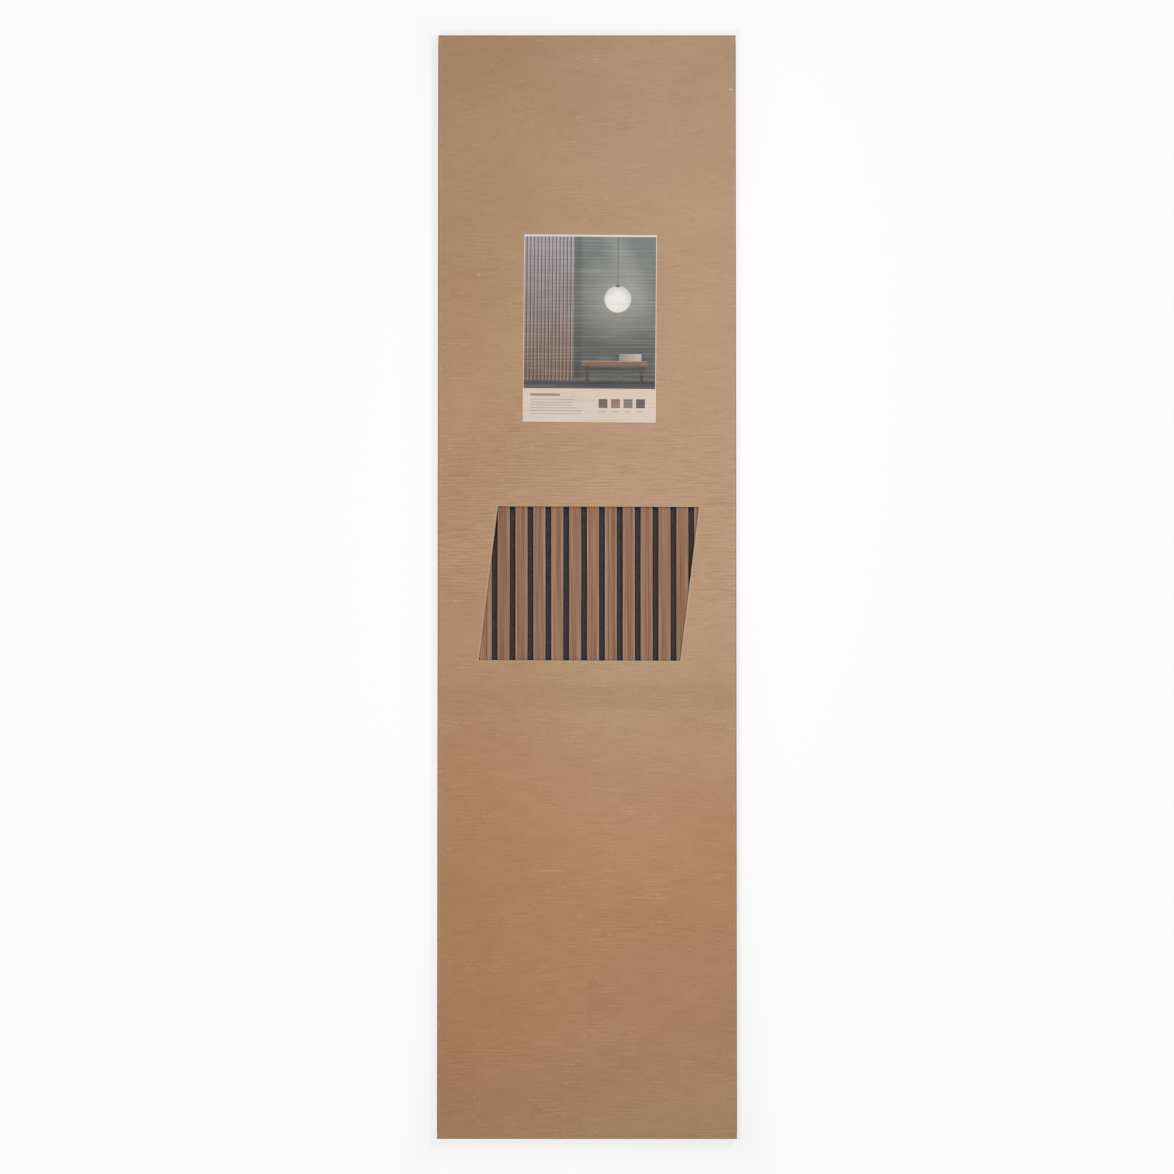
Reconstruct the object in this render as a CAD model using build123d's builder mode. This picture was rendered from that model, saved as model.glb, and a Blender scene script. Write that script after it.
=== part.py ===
"""A slatted wood wall panel in its window carton, lying on its back with the front up.

X runs across the carton, Y along it towards the label's end, and Z up from the back.
The origin is the middle of the back. Sizes are in millimetres and degrees.
"""

import os

from build123d import *

# Wall panel: slats on a felt sheet, with one gap's width of bare felt along the right edge
slat_count = 16
slat_width = 27.0
slat_thickness = 12.0
slat_gap = 13.0
slat_edge = 0.5
felt_thickness = 9.0
panel_length = 2440.0

# Room left round the panel in the carton
side_room = 5.7
end_room = 1.0
head_room = 4.0

# Corrugated board, its folds and its glued joints
board = 4.0
fold_inside = 0.4
glue_line = 0.3
raw_edge_setback = 0.6
flap_slot = 0.5
flap_root = 8.0
flap_gap = 0.8
corner_flap_reach = 27.0
tab_gap = 2.0
tab_end_trim = 12.0

# Window in the front, a parallelogram that leans to the right, die-cut a little out of true
window_width = 450.0
window_height = 344.0
window_lean = 41.0
window_right = 4.4
window_up = 2.5
window_turn = -0.2

# Paper label, stuck on by hand a little out of true
label_width = 297.0
label_height = 420.0
label_thickness = 0.2
label_drop = 450.0
label_right = 6.5
label_turn = -0.45

slat_pitch = slat_width + slat_gap
panel_width = slat_count * slat_pitch
panel_floor = board
slat_floor = panel_floor + felt_thickness

carton_width = panel_width + 2 * (side_room + 2 * board + glue_line)
carton_length = panel_length + 2 * (end_room + 3 * board + 2 * glue_line)
carton_depth = felt_thickness + slat_thickness + head_room + 2 * board
front_inside = carton_depth - board

# Middle of the board's thickness in each panel and flap of the carton
fold_middle = fold_inside + board / 2
front_middle = carton_depth - board / 2
back_middle = board / 2
wall_middle = carton_width / 2 - board / 2
tab_middle = wall_middle - board - glue_line
outer_flap_middle = carton_length / 2 - board / 2
inner_flap_middle = outer_flap_middle - board - glue_line
corner_flap_middle = inner_flap_middle - board - glue_line
wall_end = corner_flap_middle - fold_middle - flap_root

os.makedirs("parts", exist_ok=True)

with BuildPart() as carton:
    # One strip of board wrapped round the panel: left wall, front, right wall, back, glue tab
    with BuildSketch(Plane.XZ):
        with BuildLine():
            FilletPolyline(
                (-wall_middle, raw_edge_setback),
                (-wall_middle, front_middle),
                (wall_middle, front_middle),
                (wall_middle, back_middle),
                (-tab_middle, back_middle),
                (-tab_middle, front_inside - tab_gap),
                radius=fold_middle,
            )
        trace(line_width=board)
    extrude(amount=wall_end, both=True)

    # The glue tab stops short of the corner flaps
    with BuildSketch(Plane.XY.offset(board + fold_inside)):
        with Locations((-tab_middle, wall_end), (-tab_middle, -wall_end)):
            Rectangle(board + glue_line, 2 * tab_end_trim)
    extrude(amount=front_inside - tab_gap - board - fold_inside, mode=Mode.SUBTRACT)

    for end in (1, -1):
        # Outer flap, folded back from the front over the whole end
        with BuildSketch(Plane.YZ):
            with BuildLine():
                FilletPolyline(
                    (end * wall_end, front_middle),
                    (end * outer_flap_middle, front_middle),
                    (end * outer_flap_middle, raw_edge_setback),
                    radius=fold_middle,
                )
            trace(line_width=board)
        extrude(amount=carton_width / 2 - flap_slot, both=True)

        # Inner flap, folded up from the back behind the outer one
        with BuildSketch(Plane.YZ):
            with BuildLine():
                FilletPolyline(
                    (end * wall_end, back_middle),
                    (end * inner_flap_middle, back_middle),
                    (end * inner_flap_middle, front_inside - flap_gap),
                    radius=fold_middle,
                )
            trace(line_width=board)
        extrude(amount=carton_width / 2 - board - flap_slot, both=True)

        # Corner flaps, folded in from the two walls behind the inner one
        with BuildSketch(Plane.XY.offset(board + flap_gap)):
            for side in (1, -1):
                with BuildLine():
                    FilletPolyline(
                        (side * wall_middle, end * wall_end),
                        (side * wall_middle, end * corner_flap_middle),
                        (side * (wall_middle - corner_flap_reach), end * corner_flap_middle),
                        radius=fold_middle,
                    )
                trace(line_width=board)
        extrude(amount=front_inside - board - 2 * flap_gap)

    # Window, cut through the front only
    window_plane = Plane((window_right, window_up, carton_depth)).rotated((0, 0, window_turn))
    with BuildSketch(window_plane):
        Polygon(
            (window_lean / 2 - window_width / 2, window_height / 2),
            (window_lean / 2 + window_width / 2, window_height / 2),
            (-window_lean / 2 + window_width / 2, -window_height / 2),
            (-window_lean / 2 - window_width / 2, -window_height / 2),
            align=None,
        )
    extrude(amount=-board - head_room / 2, mode=Mode.SUBTRACT)

carton.part.label = "carton"
export_step(carton.part, "parts/carton.step")

label_middle = carton_length / 2 - label_drop - label_height / 2
with BuildPart() as label:
    with BuildSketch(Plane((label_right, label_middle, carton_depth)).rotated((0, 0, label_turn))):
        Rectangle(label_width, label_height)
    extrude(amount=label_thickness)
label.part.label = "label"
export_step(label.part, "parts/label.step")

with BuildPart() as felt_backing:
    with BuildSketch(Plane.XY.offset(panel_floor)):
        Rectangle(panel_width, panel_length)
    extrude(amount=felt_thickness)
felt_backing.part.label = "felt_backing"
export_step(felt_backing.part, "parts/felt_backing.step")

for number in range(1, slat_count + 1):
    slat_middle = (slat_width - panel_width) / 2 + (number - 1) * slat_pitch
    with BuildPart() as slat:
        with BuildSketch(Plane((slat_middle, 0, slat_floor))):
            Rectangle(slat_width, panel_length)
        extrude(amount=slat_thickness)
        front_edges = slat.edges().filter_by(Axis.Y).group_by(Axis.Z)[-1]
        chamfer(front_edges, length=slat_edge)
    slat.part.label = f"slat_{number:02d}"
    export_step(slat.part, f"parts/slat_{number:02d}.step")
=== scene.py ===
"""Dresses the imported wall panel: kraft carton, printed paper label, veneered slats and dark felt."""

import math
import random

import bmesh
import bpy
from mathutils import Matrix, Vector, noise


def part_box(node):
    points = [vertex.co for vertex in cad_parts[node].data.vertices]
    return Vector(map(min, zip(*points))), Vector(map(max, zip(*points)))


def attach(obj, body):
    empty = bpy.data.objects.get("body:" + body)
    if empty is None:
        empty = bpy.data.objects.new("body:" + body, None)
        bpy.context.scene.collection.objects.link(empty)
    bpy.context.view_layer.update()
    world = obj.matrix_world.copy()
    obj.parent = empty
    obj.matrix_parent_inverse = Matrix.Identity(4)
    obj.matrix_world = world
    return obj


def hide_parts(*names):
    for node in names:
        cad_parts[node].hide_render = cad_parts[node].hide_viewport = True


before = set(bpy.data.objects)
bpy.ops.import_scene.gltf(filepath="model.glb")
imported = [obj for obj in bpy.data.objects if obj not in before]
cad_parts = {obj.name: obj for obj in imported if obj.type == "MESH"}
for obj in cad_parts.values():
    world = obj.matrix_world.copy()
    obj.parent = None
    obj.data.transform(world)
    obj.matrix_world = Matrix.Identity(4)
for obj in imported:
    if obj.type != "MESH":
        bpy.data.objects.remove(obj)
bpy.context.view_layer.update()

MM = 0.001

# The carton lies with its front up. These are its outer faces, its board with the flutes in it, and the
# set-back of its cut edges, in millimetres.
CARTON_HALF_WIDTH = 334.0
CARTON_HALF_LENGTH = 1233.6
CARTON_DEPTH = 33.0
BOARD = 4.0
FLUTE_PITCH = 7.7
FLUTE_RISE = 1.45
FLUTE_SHEET = 0.34
FLUTE_PROUD = 0.3
FLUTE_BURIED = 0.1
FLAP_SLOT = 0.5
RAW_EDGE_SETBACK = 0.6

# The window's middle, size, lean and turn, in millimetres and degrees.
WINDOW_RIGHT = 4.4
WINDOW_UP = 2.5
WINDOW_WIDTH = 450.0
WINDOW_HEIGHT = 344.0
WINDOW_LEAN = 41.0
WINDOW_TURN = -0.2

# The label's middle, half width and turn, in millimetres and degrees.
LABEL_HALF_WIDTH = 148.5
LABEL_RIGHT = 6.5
LABEL_UP = 573.6
LABEL_TURN = -0.45

# The slats, the left edge of the first one and the height of their fronts, in millimetres.
SLAT_COUNT = 16
SLAT_PITCH = 40.0
SLAT_WIDTH = 27.0
SLAT_FRONT = 25.0
FIRST_SLAT_LEFT = -320.0

# How finely the felt is cut across each pitch and along the sheet, in millimetres, and its loose hairs.
GAP_CUTS = (0.0, 13.5, 27.0, 27.8, 29.2, 31.0, 33.5, 36.0, 37.8, 39.2)
ROW_STEP = 3.5
HAIR_SEED = 40
HAIR_COUNT = 2600
HAIR_STEPS = 3


def shade(red, green, blue):
    """A colour from its 0 to 255 screen values, in the linear values that a shader takes."""
    def linear(channel):
        part = channel / 255
        return part / 12.92 if part < 0.04045 else ((part + 0.055) / 1.055) ** 2.4
    return (linear(red), linear(green), linear(blue), 1.0)


BACKDROP = shade(252, 251, 252)


class Flow:
    """A node's output, on which sums are written as plain Python."""

    def __init__(self, finish, socket):
        self.finish = finish
        self.socket = socket

    def sum(self, operation, *terms):
        return self.finish.node("ShaderNodeMath", {"operation": operation}, dict(enumerate(terms)))

    def __add__(self, other):
        return self.sum("ADD", self, other)

    def __radd__(self, other):
        return self.sum("ADD", other, self)

    def __sub__(self, other):
        return self.sum("SUBTRACT", self, other)

    def __rsub__(self, other):
        return self.sum("SUBTRACT", other, self)

    def __mul__(self, other):
        return self.sum("MULTIPLY", self, other)

    def __rmul__(self, other):
        return self.sum("MULTIPLY", other, self)

    def __truediv__(self, other):
        return self.sum("DIVIDE", self, other)

    def __rtruediv__(self, other):
        return self.sum("DIVIDE", other, self)

    def __mod__(self, other):
        return self.sum("FLOORED_MODULO", self, other)

    def __abs__(self):
        return self.sum("ABSOLUTE", self)

    def __neg__(self):
        return self.sum("MULTIPLY", self, -1.0)

    def __gt__(self, other):
        return self.sum("GREATER_THAN", self, other)

    def __lt__(self, other):
        return self.sum("LESS_THAN", self, other)

    def sine(self):
        return self.sum("SINE", self)

    def floor(self):
        return self.sum("FLOOR", self)

    def root(self):
        return self.sum("SQRT", self)

    def most(self, other):
        return self.sum("MAXIMUM", self, other)

    def least(self, other):
        return self.sum("MINIMUM", self, other)


class Nodes:
    """The node tree of a material or of the world."""

    def __init__(self, tree):
        self.tree = tree

    def node(self, kind, settings=None, sockets=None, output=0):
        """Adds any node: its settings first, then the values or links of its sockets."""
        made = self.tree.nodes.new(kind)
        for name, value in (settings or {}).items():
            if name == "stops":
                ramp = made.color_ramp.elements
                while len(ramp) < len(value):
                    ramp.new(1.0)
                for element, (position, colour) in zip(ramp, value):
                    element.position = position
                    element.color = colour
            else:
                setattr(made, name, value)
        for name, value in (sockets or {}).items():
            if isinstance(value, Flow):
                self.tree.links.new(value.socket, made.inputs[name])
            else:
                made.inputs[name].default_value = value
        return Flow(self, made.outputs[output])

    def background_ray(self):
        """1 for a ray that shows the background: from the camera, off a mirror or through glass."""
        outputs = self.node("ShaderNodeLightPath").socket.node.outputs
        names = ("Is Camera Ray", "Is Glossy Ray", "Is Transmission Ray")
        camera, mirror, glass = [Flow(self, outputs[name]) for name in names]
        return camera.most(mirror).most(glass)


class Finish(Nodes):
    """One material, from its Principled shader back to the nodes that feed it."""

    def __init__(self, name):
        self.material = bpy.data.materials.new(name)
        self.material.use_nodes = True
        super().__init__(self.material.node_tree)
        self.shader = self.tree.nodes["Principled BSDF"]

    def feed(self, socket, flow):
        self.tree.links.new(flow.socket, self.shader.inputs[socket])

    def place(self, right=0.0, up=0.0, turn=0.0):
        """Object coordinates in millimetres, from a middle and a turn of the piece's own."""
        metres = self.node("ShaderNodeTexCoord", output="Object")
        settings = {"vector_type": "TEXTURE"}
        angle = (0.0, 0.0, math.radians(turn))
        return self.node("ShaderNodeMapping", settings, {
            "Vector": metres, "Location": (right * MM, up * MM, 0.0),
            "Rotation": angle, "Scale": (MM, MM, MM)})

    def parts(self, vector):
        split = self.node("ShaderNodeSeparateXYZ", None, {"Vector": vector})
        outputs = split.socket.node.outputs
        return tuple(Flow(self, outputs[axis]) for axis in "XYZ")

    def facing(self):
        """How far a face looks along each axis, without its sign."""
        geometry = self.node("ShaderNodeNewGeometry", output="True Normal")
        return tuple(abs(part) for part in self.parts(geometry))

    def noise(self, vector, lengths, detail=3.0, roughness=0.5):
        """Soft noise whose patches have the given lengths along X, Y and Z, in millimetres."""
        sockets = {"Vector": vector, "Scale": lengths}
        stretched = self.node("ShaderNodeMapping", {"vector_type": "TEXTURE"}, sockets)
        return self.node("ShaderNodeTexNoise", {"noise_dimensions": "3D"}, {
            "Vector": stretched, "Scale": 1.0, "Detail": detail, "Roughness": roughness})

    def chance(self, number):
        """A value from 0 to 1 that jumps with each whole number."""
        return self.node("ShaderNodeTexWhiteNoise", {"noise_dimensions": "1D"}, {"W": number})

    def share(self, value, start, end):
        """How far a value is from start to end, from 0 to 1."""
        return self.node("ShaderNodeMapRange", None, {"Value": value, "From Min": start, "From Max": end})

    def ease(self, value, start, end):
        """A soft step from 0 at start to 1 at end."""
        return self.node("ShaderNodeMapRange", {"interpolation_type": "SMOOTHSTEP"}, {
            "Value": value, "From Min": start, "From Max": end})

    def between(self, value, low, high, soft):
        return self.ease(value, low - soft, low + soft) * (1.0 - self.ease(value, high - soft, high + soft))

    def block(self, x, y, left, low, right, high, soft=0.5):
        return self.between(x, left, right, soft) * self.between(y, low, high, soft)

    def round_spot(self, x, y, middle, half, soft):
        across = (x - middle[0]) / half[0]
        along = (y - middle[1]) / half[1]
        return 1.0 - self.ease((across * across + along * along).root(), 1.0 - soft, 1.0 + soft)

    def mix(self, share, first, second, blend="MIX"):
        """Colour first, with a share of second laid over it."""
        settings = {"data_type": "RGBA", "blend_type": blend, "clamp_factor": True}
        return self.node("ShaderNodeMix", settings, {0: share, 6: first, 7: second}, 2)

    def ramp(self, value, *stops):
        return self.node("ShaderNodeValToRGB", {"stops": stops}, {"Fac": value})

    def bump(self, height, depth, under=None):
        """Relief from a height in millimetres, one unit of height standing depth millimetres proud."""
        sockets = {"Strength": 1.0, "Distance": depth * MM, "Height": height}
        if under is not None:
            sockets["Normal"] = under
        return self.node("ShaderNodeBump", None, sockets)


def washboard(finish, vector, x, y, z, end_face):
    """The faint ripple of the flutes under the paper, one wave to each flute."""
    along = y + (z - y) * end_face
    drift = finish.noise(vector, (420.0, 90.0, 90.0), 2.0)
    return ((along + drift * 3.0) * (2 * math.pi / FLUTE_PITCH)).sine()


def kraft_finish():
    """Brown corrugated board: paper mottle, a flute ripple partly painted as light and shade, flecks,
    duller folds, a warm cast partly painted as shade, and open cut edges with painted shade in their
    hollows.
    """
    kraft = Finish("kraft_board")
    vector = kraft.place()
    x, y, z = kraft.parts(vector)
    face_x, face_y, face_z = kraft.facing()
    end_face = face_y > 0.7

    ripple = washboard(kraft, vector, x, y, z, end_face)
    cloud = kraft.noise(vector, (330.0, 150.0, 150.0), 3.0)
    patch = kraft.noise(vector, (46.0, 22.0, 22.0), 4.0, 0.6)
    streak = kraft.noise(vector, (62.0, 3.0, 3.0), 4.0, 0.62)
    fibre = kraft.noise(vector, (3.4, 1.3, 1.3), 3.0, 0.65)
    pulp = kraft.noise(vector, (1.5, 0.3, 0.3), 3.0, 0.6)

    # The streaks, and the flute ripple painted into the colour as light and shade, are strongest round the
    # window, where the board was pressed for the die, and weakest at the top
    pressed = kraft.between(y, -40.0, 320.0, 100.0)
    beside = kraft.ease(abs(x), 170.0, 290.0)
    clump = kraft.ease(kraft.noise(vector, (95.0, 50.0, 50.0), 2.0), 0.42, 0.62)
    calm = kraft.ease(y, 620.0, 1000.0)
    streaks_and_flute_shade = (streak - 0.5) * (0.25 + clump * 0.3 + pressed * (0.3 + beside * 0.2) - calm * 0.14)
    # Painted light and shade: the flute ripple laid into the colour
    streaks_and_flute_shade = streaks_and_flute_shade + ripple * (0.006 + pressed * 0.018)
    tone = 0.5 + (cloud - 0.5) * 0.18 + (patch - 0.5) * 0.15 + (fibre - 0.5) * 0.28
    tone = tone + (pulp - 0.5) * 0.3 + streaks_and_flute_shade

    # One faint darker band across the board below the window
    tone = tone - kraft.between(y, -276.0, -224.0, 8.0) * (0.035 + kraft.ease(cloud, 0.35, 0.65) * 0.05)
    colour = kraft.ramp(
        tone, (0.12, shade(148, 114, 86)), (0.5, shade(180, 147, 118)), (0.88, shade(203, 174, 146)))
    # Painted shade, partly the paper's own tone: redder and darker towards the foot, and darker and a touch
    # yellower along the left
    foot_tint_and_shade = kraft.ease(y + (cloud - 0.5) * 160.0, -110.0, -640.0)
    foot_tint_and_shade = foot_tint_and_shade * (1.0 - kraft.ease(y, -980.0, -1210.0) * 0.35)
    colour = kraft.mix(foot_tint_and_shade, colour, shade(254, 240, 221), "MULTIPLY")
    left_tint_and_shade = kraft.ease(x, 120.0, -330.0)
    colour = kraft.mix(left_tint_and_shade, colour, shade(248, 242, 234), "MULTIPLY")

    speck = kraft.noise(vector, (4.0, 1.2, 1.2), 2.0, 0.7)
    dark_speck = kraft.ease(speck, 0.70, 0.78)
    pale_speck = kraft.ease(speck, 0.31, 0.23)
    lint = kraft.noise(vector, (13.0, 2.5, 2.5), 3.0, 0.6)
    dash = kraft.ease(lint, 0.64, 0.71)
    under_dash = kraft.ease(lint, 0.36, 0.29)
    colour = kraft.mix(dark_speck * 0.35, colour, shade(112, 80, 56))
    colour = kraft.mix(pale_speck * 0.24, colour, shade(210, 184, 156))
    colour = kraft.mix(dash * (0.22 + clump * 0.36), colour, shade(212, 185, 156))
    colour = kraft.mix(under_dash * (0.16 + clump * 0.34), colour, shade(134, 102, 76))

    # Folds: duller and darker at the very edge, with a paler thread beside it
    to_side = CARTON_HALF_WIDTH - abs(x)
    to_end = CARTON_HALF_LENGTH - abs(y)
    to_face = z.least(CARTON_DEPTH - z)
    to_fold = to_side.least(to_end).most(to_face)
    fold_patchiness = kraft.noise(vector, (9.0, 9.0, 9.0), 4.0, 0.7)
    fold = 1.0 - kraft.ease(to_fold, 1.2, 4.5)
    front_or_back = face_z > 0.5
    colour = kraft.mix(fold * (0.2 + kraft.ease(fold_patchiness, 0.3, 0.6) * 0.3), colour, shade(152, 135, 119))
    thread = kraft.between(to_fold, 4.4, 6.6, 1.1)
    colour = kraft.mix(thread * kraft.ease(fold_patchiness, 0.42, 0.62) * 0.3, colour, shade(204, 178, 150))

    # Small knocks and rubs on the front
    front = front_or_back * (z > CARTON_DEPTH / 2)
    nick = kraft.round_spot(x, y, (323.0, 1111.0), (4.8, 2.4), 0.45)
    rub = kraft.round_spot(x, y, (-80.0, -638.0), (34.0, 1.3), 0.5)
    rub = rub.most(kraft.round_spot(x, y, (47.0, -638.0), (14.0, 1.2), 0.5))
    rub = rub.most(kraft.round_spot(x, y, (138.0, -698.0), (46.0, 1.1), 0.6))
    smudge = kraft.round_spot(x, y, (286.0, 181.0), (26.0, 5.0), 0.7) * kraft.ease(patch, 0.35, 0.65)
    colour = kraft.mix(nick * front * 0.5, colour, shade(222, 203, 182))
    colour = kraft.mix(rub * front * 0.32, colour, shade(208, 180, 150))
    colour = kraft.mix(smudge * front * 0.4, colour, shade(132, 103, 80))

    # A pale rim round the window, strongest along its slanted sides
    u, v = kraft.parts(kraft.place(WINDOW_RIGHT, WINDOW_UP, WINDOW_TURN))[:2]
    out_side = abs(u - v * (WINDOW_LEAN / WINDOW_HEIGHT)) - WINDOW_WIDTH / 2
    out_end = abs(v) - WINDOW_HEIGHT / 2
    from_window = out_side.most(out_end)
    rim = kraft.between(from_window, -1.0, 2.6, 1.4) * front * (0.4 + (out_side > out_end) * 0.6)
    colour = kraft.mix(rim * 0.28, colour, shade(214, 187, 157))

    # Cut edges: two liners with the fluted sheet between them, and painted shade in the open hollows beside
    # it.
    # They show round the window, down the sides of the end flaps and along the foot of a wall or flap.
    at_window = (from_window < 1.0) * (z > CARTON_DEPTH - BOARD - 0.5) * (1.0 - front_or_back)
    inset = to_side - FLAP_SLOT
    at_flap = (face_x > 0.95) * (abs(inset) < 0.2)
    at_foot = (face_z > 0.95) * (abs(z - RAW_EDGE_SETBACK) < 0.2)
    cut = at_window.most(at_flap).most(at_foot)
    into_flap = (CARTON_DEPTH - z).least(to_end)
    into_foot = to_side.least(to_end)
    into_board = (CARTON_DEPTH - z) * at_window + into_flap * at_flap + into_foot * at_foot
    height = BOARD / 2 - into_board
    run = v * at_window + (abs(y) - z) * at_flap + y * at_foot
    wave = (run * (2 * math.pi / FLUTE_PITCH)).sine() * FLUTE_RISE
    sheet = 1.0 - kraft.ease(abs(height - wave), 0.22, 0.5)
    liner = kraft.ease(abs(height), 1.5, 1.75)
    across_flutes = (face_x > 0.5).most(at_foot * (to_side < BOARD + 0.2))
    core = sheet * across_flutes + (1.0 - across_flutes) * kraft.ease(patch, 0.35, 0.7) * 0.6
    shaded_hollow = cut * (1.0 - liner.most(core))
    # Painted shade in the open flute hollows
    colour = kraft.mix(shaded_hollow * 0.85, colour, shade(60, 42, 30))
    colour = kraft.mix(cut * liner * 0.5, colour, shade(196, 166, 138))

    kraft.feed("Base Color", colour)
    kraft.feed("Roughness", 0.86 + (streak - 0.5) * 0.14 - fold * 0.06)
    relief = kraft.bump(ripple, 0.028)
    relief = kraft.bump(patch * 2.2 + streak * 0.6 + fibre * 0.4 + pulp * 0.4, 0.09, relief)
    crease = kraft.between(to_fold, 5.0, 7.0, 1.2)
    relief = kraft.bump(-crease, 0.18, relief)
    relief = kraft.bump(-shaded_hollow, 0.8, relief)
    kraft.feed("Normal", relief)
    kraft.shader.inputs["Specular IOR Level"].default_value = 0.14
    return kraft.material


def label_finish():
    """Printed paper stuck to the board: a plain room over a pale foot with grey rules and swatches."""
    paper = Finish("label_paper")
    board_vector = paper.place()
    x, y, z = paper.parts(board_vector)
    vector = paper.place(LABEL_RIGHT, LABEL_UP, LABEL_TURN)
    u, v = paper.parts(vector)[:2]

    ripple = washboard(paper, board_vector, x, y, z, 0.0)
    streak = paper.noise(board_vector, (120.0, 3.2, 3.2), 3.0, 0.6)
    patch = paper.noise(board_vector, (60.0, 30.0, 30.0), 3.0)
    ink = paper.noise(board_vector, (1.6, 1.6, 1.6), 2.0)

    # Wall, lit from above and falling off towards the floor
    colour = paper.ramp(
        paper.share(v, -135.0, 206.0), (0.0, shade(80, 80, 77)), (0.35, shade(94, 95, 91)),
        (0.7, shade(108, 112, 108)), (1.0, shade(122, 127, 125)))
    plaster = paper.noise(vector, (34.0, 26.0, 26.0), 4.0, 0.6)
    colour = paper.mix((plaster - 0.42) * 0.5, colour, shade(70, 73, 71))
    sunbeam = paper.between(u + v * 0.42, 118.0, 158.0, 26.0) * paper.ease(v, -60.0, 150.0)
    colour = paper.mix(sunbeam * 0.22, colour, shade(196, 196, 188))

    # Upright battens on the left, their own tone sliding from warm at the foot to cool at the top
    batten_tone = paper.ramp(
        paper.share(v, -118.0, 206.0), (0.0, shade(118, 92, 76)), (0.3, shade(140, 118, 106)),
        (0.65, shade(150, 140, 142)), (1.0, shade(172, 166, 170)))
    batten_side = (u + LABEL_HALF_WIDTH) % 8.2
    batten_gap = paper.between(batten_side, 5.6, 8.0, 0.35)
    batten_lit = paper.between(batten_side, 0.3, 1.7, 0.5)
    batten_tone = paper.mix(batten_lit * 0.35, batten_tone, shade(206, 198, 196))
    batten_tone = paper.mix(batten_gap * 0.78, batten_tone, shade(56, 52, 55))
    batten_grain = paper.noise(vector, (1.4, 60.0, 60.0), 3.0, 0.6)
    batten_tone = paper.mix((batten_grain - 0.45) * 1.2, batten_tone, shade(98, 80, 70))
    battens = paper.block(u, v, -160.0, -118.0, -36.0, 215.0, 0.4)
    colour = paper.mix(battens, colour, batten_tone)
    corner_shade = paper.between(u, -36.0, -18.0, 8.0) * (u > -36.0)
    colour = paper.mix(corner_shade * 0.35, colour, shade(52, 54, 53))

    # A pale globe lamp on its cord, with its glow on the wall
    glow = paper.round_spot(u, v, (62.0, 66.0), (66.0, 66.0), 0.95)
    colour = paper.mix(glow * 0.42 * (1.0 - battens), colour, shade(190, 188, 180))
    lamp_cord = paper.block(u, v, 61.4, 96.0, 62.6, 215.0, 0.35)
    colour = paper.mix(lamp_cord * 0.8, colour, shade(58, 58, 58))
    globe = paper.round_spot(u, v, (62.0, 66.0), (30.0, 30.0), 0.03)
    globe_core = paper.round_spot(u, v, (60.0, 62.0), (31.0, 31.0), 0.55)
    globe_tone = paper.mix(globe_core, shade(176, 175, 170), shade(232, 229, 222))
    colour = paper.mix(globe, colour, globe_tone)
    lamp_cap = paper.block(u, v, 57.0, 93.0, 67.0, 97.5, 0.5)
    colour = paper.mix(lamp_cap * 0.85, colour, shade(64, 62, 60))

    # Floor, and a low bench with a folded throw
    floor = paper.block(u, v, -160.0, -140.0, 160.0, -118.0, 0.5)
    floor_tone = paper.mix(paper.ease(v, -119.0, -135.0), shade(70, 66, 68), shade(96, 90, 90))
    floor_board = paper.noise(vector, (70.0, 1.6, 1.6), 3.0)
    floor_tone = paper.mix((floor_board - 0.4) * 0.8, floor_tone, shade(58, 53, 53))
    colour = paper.mix(floor, colour, floor_tone)
    skirting = paper.block(u, v, -36.0, -118.0, 160.0, -110.5, 0.4)
    colour = paper.mix(skirting * 0.4, colour, shade(116, 117, 112))
    skirting_line = paper.block(u, v, -36.0, -110.9, 160.0, -110.2, 0.3)
    colour = paper.mix(skirting_line * 0.5, colour, shade(54, 54, 52))
    bench_shadow = paper.round_spot(u, v, (56.0, -124.0), (86.0, 7.0), 0.6)
    colour = paper.mix(bench_shadow * 0.6, colour, shade(48, 46, 47))
    bench_top = paper.block(u, v, -18.0, -84.0, 130.0, -73.0, 0.4)
    bench_legs = paper.block(u, v, -8.0, -122.0, -1.0, -84.0, 0.4).most(
        paper.block(u, v, 113.0, -122.0, 120.0, -84.0, 0.4))
    bench_grain = paper.noise(vector, (50.0, 1.3, 1.3), 3.0)
    bench_tone = paper.mix(bench_grain, shade(96, 74, 60), shade(150, 120, 98))
    under_bench = paper.block(u, v, -14.0, -96.0, 126.0, -84.0, 5.0)
    colour = paper.mix(under_bench * 0.5, colour, shade(44, 43, 42))
    colour = paper.mix(bench_top, colour, bench_tone)
    bench_edge = paper.block(u, v, -18.0, -74.6, 130.0, -73.0, 0.4)
    colour = paper.mix(bench_edge * 0.6, colour, shade(190, 164, 142))
    colour = paper.mix(bench_legs, colour, shade(74, 62, 56))
    throw_shade = paper.round_spot(u, v, (94.0, -66.0), (34.0, 14.0), 0.6)
    colour = paper.mix(throw_shade * 0.35 * (1.0 - bench_top), colour, shade(48, 48, 47))
    throw = paper.block(u, v, 66.0, -73.0, 116.0, -57.0, 1.2)
    throw_fold = paper.between((v + 57.0) % 5.3, 0.0, 1.0, 0.4)
    throw_side = paper.mix(paper.ease(u, 62.0, 112.0), shade(150, 138, 126), shade(190, 178, 164))
    throw_tone = paper.mix(throw_fold * 0.5, throw_side, shade(112, 101, 92))
    colour = paper.mix(throw, colour, throw_tone)

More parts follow.
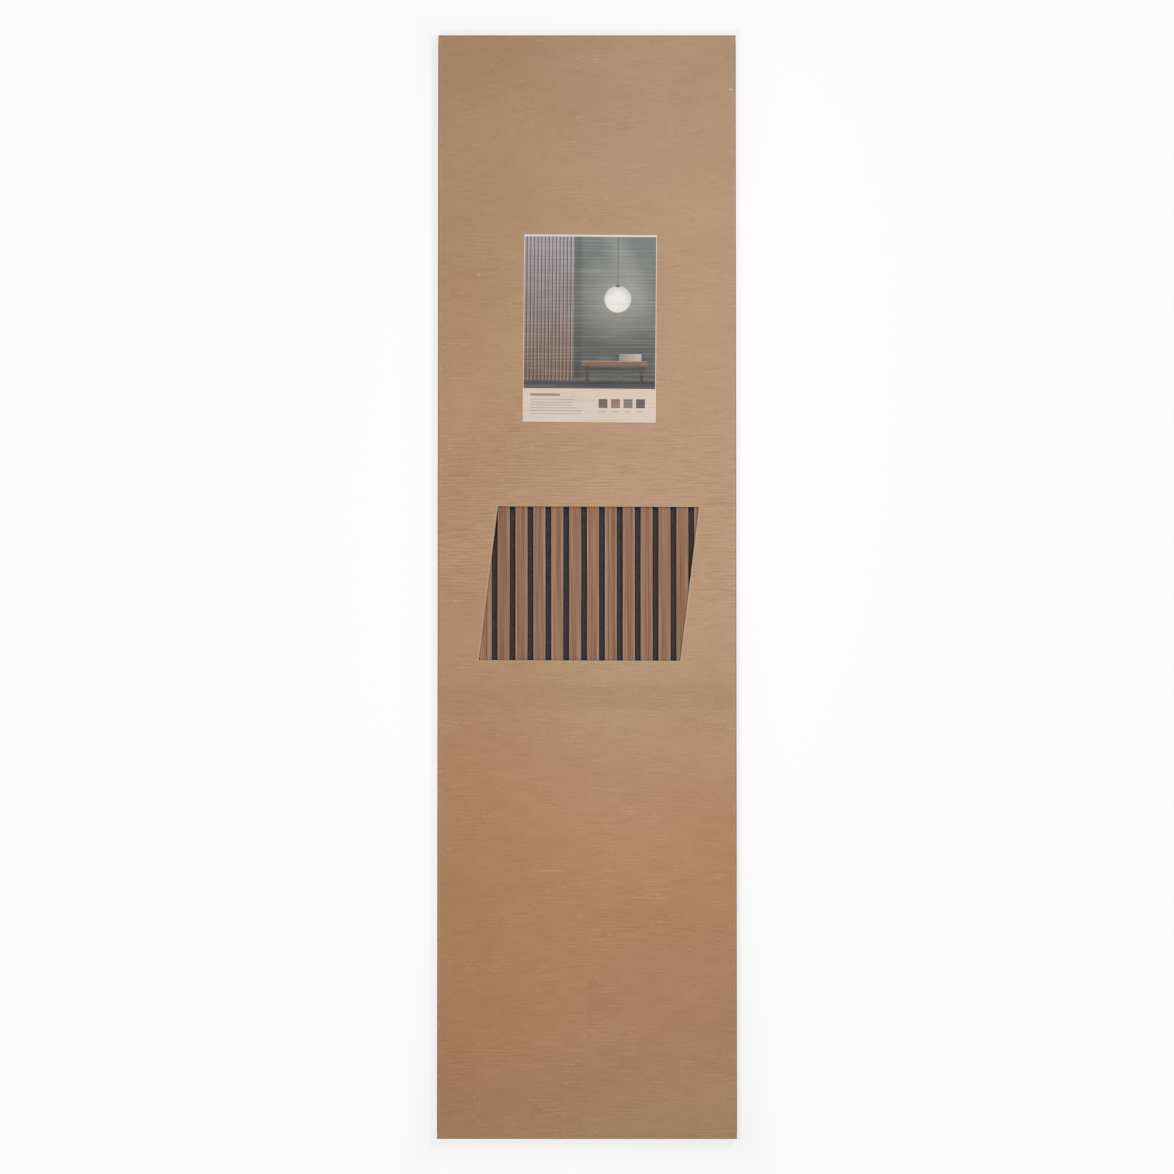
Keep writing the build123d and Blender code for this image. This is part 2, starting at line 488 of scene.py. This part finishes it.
    # Pale foot with plain grey rules, and four plain swatches of finish
    foot = paper.ease(v, -134.6, -135.4)
    colour = paper.mix(foot, colour, shade(214, 196, 182))
    heading = paper.block(u, v, -132.0, -152.0, -66.0, -146.5, 0.4)
    colour = paper.mix(heading * 0.75, colour, shade(110, 100, 94))
    rule_pitch = 6.4
    rule_place = v + 156.0
    rules = paper.between(rule_place % rule_pitch, 2.0, 3.7, 0.3)
    rules = rules * paper.block(u, v, -132.0, -192.0, -8.0, -157.0, 0.4)
    rule_end = paper.chance((rule_place / rule_pitch).floor()) * 40.0 - 40.0
    rules = rules * (1.0 - paper.ease(u, rule_end, rule_end + 1.0))
    colour = paper.mix(rules * 0.55, colour, shade(128, 116, 108))
    swatch_pitch = 28.0
    swatch_place = u - 20.0
    within = swatch_place % swatch_pitch
    swatches = paper.between(within, 0.6, 20.6, 0.4) * paper.block(u, v, 20.0, -178.0, 131.0, -158.0, 0.4)
    swatch_tone = paper.ramp(
        paper.share((swatch_place / swatch_pitch).floor(), 0.0, 3.0), (0.0, shade(92, 70, 56)),
        (0.34, shade(132, 100, 78)), (0.67, shade(104, 102, 100)), (1.0, shade(66, 62, 62)))
    colour = paper.mix(swatches * 0.9, colour, swatch_tone)
    captions = paper.between(within, 2.0, 17.0, 0.4) * paper.block(u, v, 20.0, -187.0, 131.0, -185.0, 0.3)
    colour = paper.mix(captions * 0.5, colour, shade(128, 116, 108))

    # Bare paper along the trimmed edges
    margin = (1.0 - paper.block(u, v, -147.6, -215.0, 147.2, 206.2, 0.35)).least(1.0)
    colour = paper.mix(margin, colour, shade(228, 219, 210))

    # The flutes and the waviness of the paper show through as painted light and shade, and the ink is a
    # little uneven
    tone = ripple * 0.035 + (streak - 0.5) * 0.46 + (patch - 0.5) * 0.18 + (ink - 0.5) * 0.2
    colour = paper.mix(tone.most(0.0), colour, shade(226, 218, 206), "MIX")
    colour = paper.mix((-tone).most(0.0), colour, shade(30, 28, 26), "MIX")

    paper.feed("Base Color", colour)
    paper.feed("Roughness", 0.5 + (patch - 0.5) * 0.2 + foot * 0.08)
    relief = paper.bump(ripple, 0.03)
    relief = paper.bump(patch * 2.0 + streak * 0.5, 0.05, relief)
    paper.feed("Normal", relief)
    paper.shader.inputs["Specular IOR Level"].default_value = 0.16
    return paper.material


def veneer_finish():
    """Straight-grained brown veneer, cut so that no two slats match, over a fibreboard core."""
    veneer = Finish("wood_veneer")
    vector = veneer.place()
    x, y, z = veneer.parts(vector)
    slat = ((x - FIRST_SLAT_LEFT) / SLAT_PITCH).floor()
    chance = veneer.chance(slat)
    across = x + chance * 900.0
    along = y + veneer.chance(slat + 37.0) * 2100.0
    shifted = veneer.node("ShaderNodeCombineXYZ", None, {"X": across, "Y": along, "Z": z})

    bend = veneer.noise(shifted, (30.0, 420.0, 30.0), 2.0)
    across = across + (bend - 0.5) * 16.0
    bent = veneer.node("ShaderNodeCombineXYZ", None, {"X": across, "Y": along, "Z": z})
    figure = veneer.noise(bent, (6.4, 700.0, 12.0), 2.0, 0.5)
    grain = veneer.noise(bent, (2.3, 260.0, 5.0), 3.0, 0.6)
    pore = veneer.noise(bent, (0.6, 30.0, 1.2), 2.0, 0.6)
    tick = veneer.noise(bent, (0.32, 8.0, 0.6), 2.0, 0.6)
    thread = veneer.noise(bent, (1.1, 420.0, 2.4), 2.0, 0.6)

    lines = (grain - 0.5) * 1.1 + (thread - 0.5) * 0.95 + (pore - 0.5) * 0.25
    tone = 0.49 + (figure - 0.5) * 0.45 + lines + (chance - 0.5) * 0.05
    colour = veneer.ramp(
        tone, (0.1, shade(84, 56, 40)), (0.36, shade(128, 91, 67)), (0.52, shade(147, 107, 81)),
        (0.9, shade(177, 138, 108)))

    # Some streaks lean to red, some to grey and some to ochre
    hue = veneer.noise(bent, (4.2, 900.0, 12.0), 1.0)
    colour = veneer.mix(veneer.ease(hue, 0.52, 0.68) * 0.75, colour, shade(252, 227, 207), "MULTIPLY")
    colour = veneer.mix(veneer.ease(hue, 0.46, 0.32) * 0.6, colour, shade(232, 236, 240), "MULTIPLY")
    ochre = veneer.noise(shifted, (5.6, 640.0, 12.0), 1.0)
    colour = veneer.mix(veneer.ease(ochre, 0.5, 0.64) * 0.7, colour, shade(244, 246, 222), "MULTIPLY")
    dark_pore = veneer.ease(pore, 0.66, 0.76).most(veneer.ease(tick, 0.62, 0.72) * 0.8)
    colour = veneer.mix(dark_pore * 0.4, colour, shade(66, 42, 29))

    # The long front edges are a little paler and greyer
    within = (x - FIRST_SLAT_LEFT) % SLAT_PITCH
    to_edge = SLAT_WIDTH / 2 - abs(within - SLAT_WIDTH / 2)
    pale_edge = (1.0 - veneer.ease(to_edge, 1.0, 6.5)) * veneer.ease(z, SLAT_FRONT - 1.5, SLAT_FRONT - 0.4)
    pale_edge_tone = veneer.ramp(
        tone, (0.1, shade(104, 85, 74)), (0.5, shade(145, 125, 112)), (0.9, shade(175, 158, 145)))
    colour = veneer.mix(pale_edge * 0.72, colour, pale_edge_tone)
    core = veneer.facing()[1] > 0.7
    colour = veneer.mix(core, colour, shade(168, 134, 100))

    veneer.feed("Base Color", colour)
    veneer.feed("Roughness", 0.56 + (grain - 0.5) * 0.2 + dark_pore * 0.1)
    veneer.feed("Normal", veneer.bump(grain * 0.6 - dark_pore * 0.5, 0.1))
    veneer.shader.inputs["Specular IOR Level"].default_value = 0.2
    return veneer.material


def felt_finish():
    """Needled charcoal felt: matted fibres, paler lint and a soft uneven nap."""
    felt = Finish("felt")
    vector = felt.place()
    nap = felt.noise(vector, (14.0, 20.0, 14.0), 3.0)
    tangle = felt.noise(vector, (1.6, 1.6, 1.6), 4.0, 0.7)
    hair = felt.noise(vector, (0.5, 2.8, 0.5), 3.0, 0.6)
    cross_hair = felt.noise(vector, (2.8, 0.5, 0.5), 3.0, 0.6)
    lint = felt.ease(hair.most(cross_hair), 0.6, 0.74)
    colour = felt.mix((tangle - 0.5) * 1.4 + (nap - 0.5) * 0.8 + 0.5, shade(47, 40, 40), shade(77, 68, 67))
    colour = felt.mix(lint * 0.42, colour, shade(112, 104, 102))
    felt.feed("Base Color", colour)
    felt.feed("Roughness", 0.93 + (tangle - 0.5) * 0.1)
    felt.feed("Normal", felt.bump(tangle + hair * 0.6 + cross_hair * 0.6, 0.6))
    felt.shader.inputs["Specular IOR Level"].default_value = 0.06
    felt.shader.inputs["Sheen Weight"].default_value = 0.12
    return felt.material


def hair_finish():
    """Loose felt hairs, from charcoal to pale grey."""
    hair = Finish("felt_hair")
    tone = hair.noise(hair.place(), (3.0, 3.0, 3.0), 1.0)
    hair.feed("Base Color", hair.mix(hair.ease(tone, 0.35, 0.65), shade(70, 64, 62), shade(156, 149, 144)))
    hair.shader.inputs["Roughness"].default_value = 0.8
    return hair.material


def add_piece(name, mesh, material):
    """A new piece from a finished bmesh, riding with the carton."""
    data = bpy.data.meshes.new(name)
    mesh.to_mesh(data)
    mesh.free()
    data.materials.append(material)
    piece = bpy.data.objects.new(name, data)
    bpy.context.collection.objects.link(piece)
    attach(piece, "root")
    return piece


def felt_height(x, y):
    """How far the felt swells above its glued level: not at all under a slat, a soft pillow in a gap."""
    across = ((x - FIRST_SLAT_LEFT) % SLAT_PITCH - SLAT_WIDTH) / (SLAT_PITCH - SLAT_WIDTH)
    if across <= 0.0:
        return 0.0
    lumps = noise.noise(Vector((x / 6.0, y / 9.0, 0.0)))
    lumps += 0.6 * noise.noise(Vector((x / 2.5, y / 3.5, 7.0)))
    return math.sin(math.pi * across) ** 0.5 * (0.55 + 0.3 * lumps)


def thicken(piece, thickness, offset):
    """Gives a sheet its thickness: below its face at an offset of -1, half each way at 0."""
    wall = piece.modifiers.new("thickness", "SOLIDIFY")
    wall.thickness = thickness
    wall.offset = offset
    wall.use_even_offset = True


def cut(mesh, place, normal):
    everything = mesh.verts[:] + mesh.edges[:] + mesh.faces[:]
    bmesh.ops.bisect_plane(mesh, geom=everything, plane_co=place, plane_no=normal)


def felt_sheet(material):
    """The felt as one needled sheet, glued flat under the slats and pillowed between them."""
    low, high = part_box("felt_backing")
    size = high - low
    mesh = bmesh.new()
    bmesh.ops.create_grid(mesh, x_segments=1, y_segments=1, size=0.5)
    bmesh.ops.scale(mesh, verts=mesh.verts, vec=(size.x, size.y, 1.0))
    bmesh.ops.translate(mesh, verts=mesh.verts, vec=(low.x + size.x / 2, low.y + size.y / 2, high.z))

    # Cuts follow the slats across the sheet, and are close along it only where the window shows it
    for slat in range(SLAT_COUNT):
        for step in GAP_CUTS:
            cut(mesh, ((FIRST_SLAT_LEFT + SLAT_PITCH * slat + step) * MM, 0.0, 0.0), (1.0, 0.0, 0.0))
    seen = WINDOW_HEIGHT / 2 + 24.0
    for step in range(int(2 * seen / ROW_STEP) + 1):
        cut(mesh, (0.0, (ROW_STEP * step - seen) * MM, 0.0), (0.0, 1.0, 0.0))
    for vert in mesh.verts:
        vert.co.z += felt_height(vert.co.x / MM, vert.co.y / MM) * MM
    for face in mesh.faces:
        face.smooth = True
    piece = add_piece("felt_sheet", mesh, material)
    thicken(piece, size.z, -1.0)
    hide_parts("felt_backing")
    return piece


def felt_hairs(material):
    """Loose hairs of the felt, each a short bent ribbon, in the gaps that the window shows."""
    felt_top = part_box("felt_backing")[1].z / MM
    chance = random.Random(HAIR_SEED)
    mesh = bmesh.new()
    for _ in range(HAIR_COUNT):
        slat = chance.randrange(SLAT_COUNT)
        gap_left = FIRST_SLAT_LEFT + SLAT_PITCH * slat + SLAT_WIDTH
        x = gap_left + chance.uniform(1.5, SLAT_PITCH - SLAT_WIDTH - 1.5)
        y = chance.uniform(-WINDOW_HEIGHT / 2 - 4.0, WINDOW_HEIGHT / 2 + 8.0)
        length = chance.uniform(2.0, 7.0)
        heading = math.radians(90.0 + chance.gauss(0.0, 40.0))
        curl = chance.gauss(0.0, 0.5)
        rise = chance.uniform(0.1, 0.9)
        width = chance.uniform(0.07, 0.14)
        bends = []
        for step in range(HAIR_STEPS + 1):
            share = step / HAIR_STEPS
            lift = felt_height(x, y) + rise * share * share
            across = Vector((-math.sin(heading), math.cos(heading), 0.0)) * (width * (1.0 - 0.7 * share))
            bends.append((Vector((x, y, felt_top + lift)), across))
            heading += curl
            x += math.cos(heading) * length / HAIR_STEPS
            y += math.sin(heading) * length / HAIR_STEPS
        ribbon = bmesh.ops.create_grid(mesh, x_segments=HAIR_STEPS, y_segments=1, size=0.5)["verts"]
        for vert in ribbon:
            middle, across = bends[round((vert.co.x + 0.5) * HAIR_STEPS)]
            vert.co = (middle + across * vert.co.y) * MM
    return add_piece("felt_hairs", mesh, material)


def window_flutes(material):
    """The wavy end of the board's fluted sheet, just proud of the cut along the window's slanted sides."""
    steps_to_flute = 10
    stations = int(WINDOW_HEIGHT / FLUTE_PITCH * steps_to_flute)
    mesh = bmesh.new()
    for side in (-1.0, 1.0):
        strip = bmesh.ops.create_grid(mesh, x_segments=1, y_segments=stations, size=0.5)["verts"]
        for vert in strip:
            v = vert.co.y * WINDOW_HEIGHT
            out = FLUTE_PROUD * (0.5 - side * vert.co.x) - FLUTE_BURIED * (0.5 + side * vert.co.x)
            u = side * (WINDOW_WIDTH / 2 - out) + v * WINDOW_LEAN / WINDOW_HEIGHT
            vert.co = (u, v, FLUTE_RISE * math.sin(2 * math.pi * v / FLUTE_PITCH))
    middle = Vector((WINDOW_RIGHT, WINDOW_UP, CARTON_DEPTH - BOARD / 2))
    turned = Matrix.Rotation(math.radians(WINDOW_TURN), 4, "Z")
    placed = Matrix.Scale(MM, 4) @ Matrix.Translation(middle) @ turned
    bmesh.ops.transform(mesh, matrix=placed, verts=mesh.verts)
    piece = add_piece("window_flutes", mesh, material)
    thicken(piece, FLUTE_SHEET * MM, 0.0)
    return piece


def dress(names, material):
    for name in names:
        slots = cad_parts[name].data.materials
        slots.clear()
        slots.append(material)


def studio():
    """A pale floor, soft light from above and a camera that looks down, tipped a little to the foot."""
    half_floor = 30.0
    under_carton = -0.0004
    sweep = bmesh.new()
    bmesh.ops.create_grid(sweep, x_segments=1, y_segments=1, size=half_floor)
    bmesh.ops.translate(sweep, verts=sweep.verts, vec=(0.0, 0.0, under_carton))
    floor_mesh = bpy.data.meshes.new("floor")
    sweep.to_mesh(floor_mesh)
    sweep.free()
    floor = bpy.data.objects.new("floor", floor_mesh)
    bpy.context.collection.objects.link(floor)

    paint = Finish("floor_white")
    paint.shader.inputs["Base Color"].default_value = shade(246, 246, 247)
    paint.shader.inputs["Roughness"].default_value = 0.9
    seen = paint.background_ray()

    # Near the carton the floor shows its shadow, and further off it is plain backdrop, with no edge
    x, y = paint.parts(paint.place())[:2]
    beyond = (abs(x) - CARTON_HALF_WIDTH).most(abs(y) - CARTON_HALF_LENGTH)
    far = paint.ease(beyond, 60.0, 700.0)
    shadowed = (0.28 - paint.ease(beyond, 0.0, 110.0) * 0.14) * (1.0 - far)
    glow = paint.mix(far, (1.0, 1.0, 1.0, 1.0), BACKDROP)
    white = paint.node("ShaderNodeEmission", None, {"Color": glow, "Strength": 1.0})
    lit = Flow(paint, paint.shader.outputs[0])
    blend = paint.node("ShaderNodeMixShader", None, {0: seen * (1.0 - shadowed), 1: lit, 2: white})
    ground = paint.tree.nodes["Material Output"].inputs["Surface"]
    paint.tree.links.new(blend.socket, ground)
    floor_mesh.materials.append(paint.material)

    world = bpy.data.worlds.new("studio")
    bpy.context.scene.world = world
    world.use_nodes = True
    sky = Nodes(world.node_tree)
    fill = sky.node("ShaderNodeBackground", None, {"Color": (0.985, 0.992, 1.0, 1.0), "Strength": 0.22})
    room = sky.node("ShaderNodeBackground", None, {"Color": BACKDROP, "Strength": 1.0})
    chosen = sky.node("ShaderNodeMixShader", None, {0: sky.background_ray(), 1: fill, 2: room})
    sky.tree.links.new(chosen.socket, sky.tree.nodes["World Output"].inputs["Surface"])

    softbox("high_softbox", place=(0.9, 0.9, 2.4), aim=(0.0, 0.2, 0.0), size=0.6, watts=33.0)
    softbox("side_softbox", place=(-0.7, -0.6, 2.9), aim=(0.0, 0.0, 0.0), size=0.7, watts=38.3)

    tip = math.radians(1.26)
    aim = Vector((0.0, -0.0054, 0.033))
    distance = 6.0
    photo_span = 2.6225
    lens = bpy.data.cameras.new("camera")
    lens.sensor_width = 36.0
    lens.lens = 36.0 * distance / photo_span
    camera = bpy.data.objects.new("camera", lens)
    camera.location = aim + distance * Vector((0.0, -math.sin(tip), math.cos(tip)))
    camera.rotation_euler = (tip, 0.0, 0.0)
    bpy.context.collection.objects.link(camera)
    bpy.context.scene.camera = camera
    bpy.context.scene.view_settings.view_transform = "Standard"


def softbox(name, place, aim, size, watts):
    lamp = bpy.data.lights.new(name, "AREA")
    lamp.shape = "SQUARE"
    lamp.size = size
    lamp.energy = watts
    holder = bpy.data.objects.new(name, lamp)
    holder.location = place
    holder.rotation_euler = (Vector(aim) - Vector(place)).to_track_quat("-Z", "Y").to_euler()
    bpy.context.collection.objects.link(holder)


board_material = kraft_finish()
felt_material = felt_finish()
dress(["carton"], board_material)
dress(["label"], label_finish())
dress(["felt_backing"], felt_material)
dress([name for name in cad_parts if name.startswith("slat_")], veneer_finish())
window_flutes(board_material)
hairs = felt_hairs(hair_finish())
felt = felt_sheet(felt_material)
studio()
